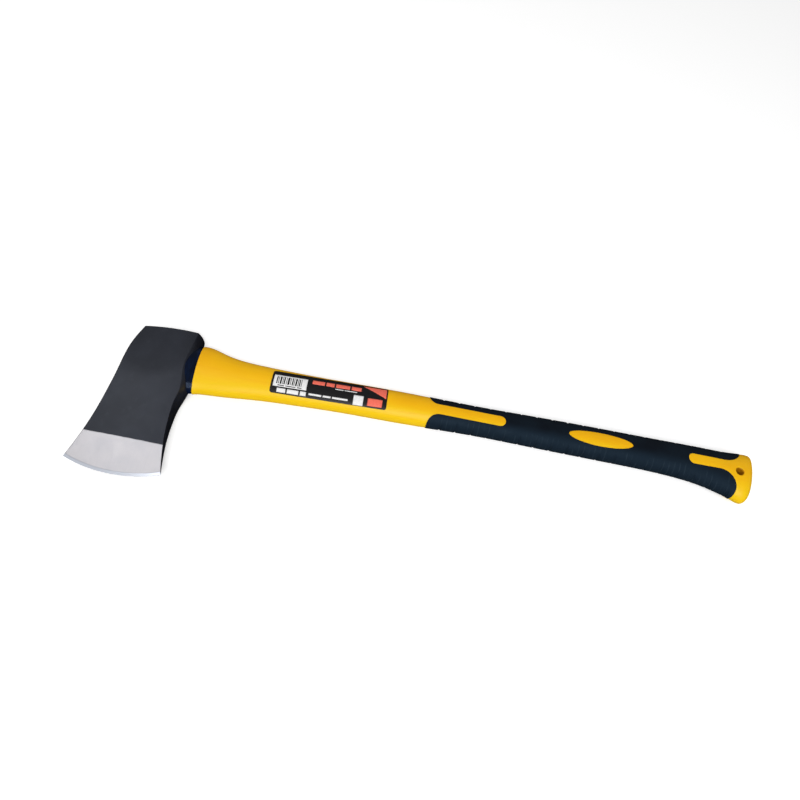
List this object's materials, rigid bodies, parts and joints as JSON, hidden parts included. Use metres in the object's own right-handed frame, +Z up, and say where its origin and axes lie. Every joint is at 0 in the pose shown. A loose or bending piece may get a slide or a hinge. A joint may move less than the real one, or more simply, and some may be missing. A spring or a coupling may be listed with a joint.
{
  "type": "axe",
  "caption": "Single-bit felling axe with a forged, part-painted head bonded to a fibreglass-cored yellow handle with a black rubber grip.",
  "frame": {"origin": "on the lower flat cheek of the head, straight under the centre of the eye, with the axe lying flat on its side", "axes": "+X along the handle from the head to the butt, -Y towards the cutting edge and +Y towards the poll, +Z up out of the upper broad side"},
  "size_m": [0.7189, 0.1713, 0.029],
  "materials": {
    "forged_head": "satin",
    "cast_resin": "glossy",
    "dark_collar": "glossy",
    "glass_fibre": "satin",
    "yellow_plastic": "semi-gloss",
    "soft_rubber": "matte",
    "printed_label": "semi-gloss print"
  },
  "bodies": {
    "root": {"axe_head": "forged_head", "eye_resin": "cast_resin", "eye_seal_collar": "dark_collar", "fibreglass_core": "glass_fibre", "handle_jacket": "yellow_plastic", "grip_overmould": "soft_rubber", "handle_label": "printed_label"}
  },
  "joints": []
}
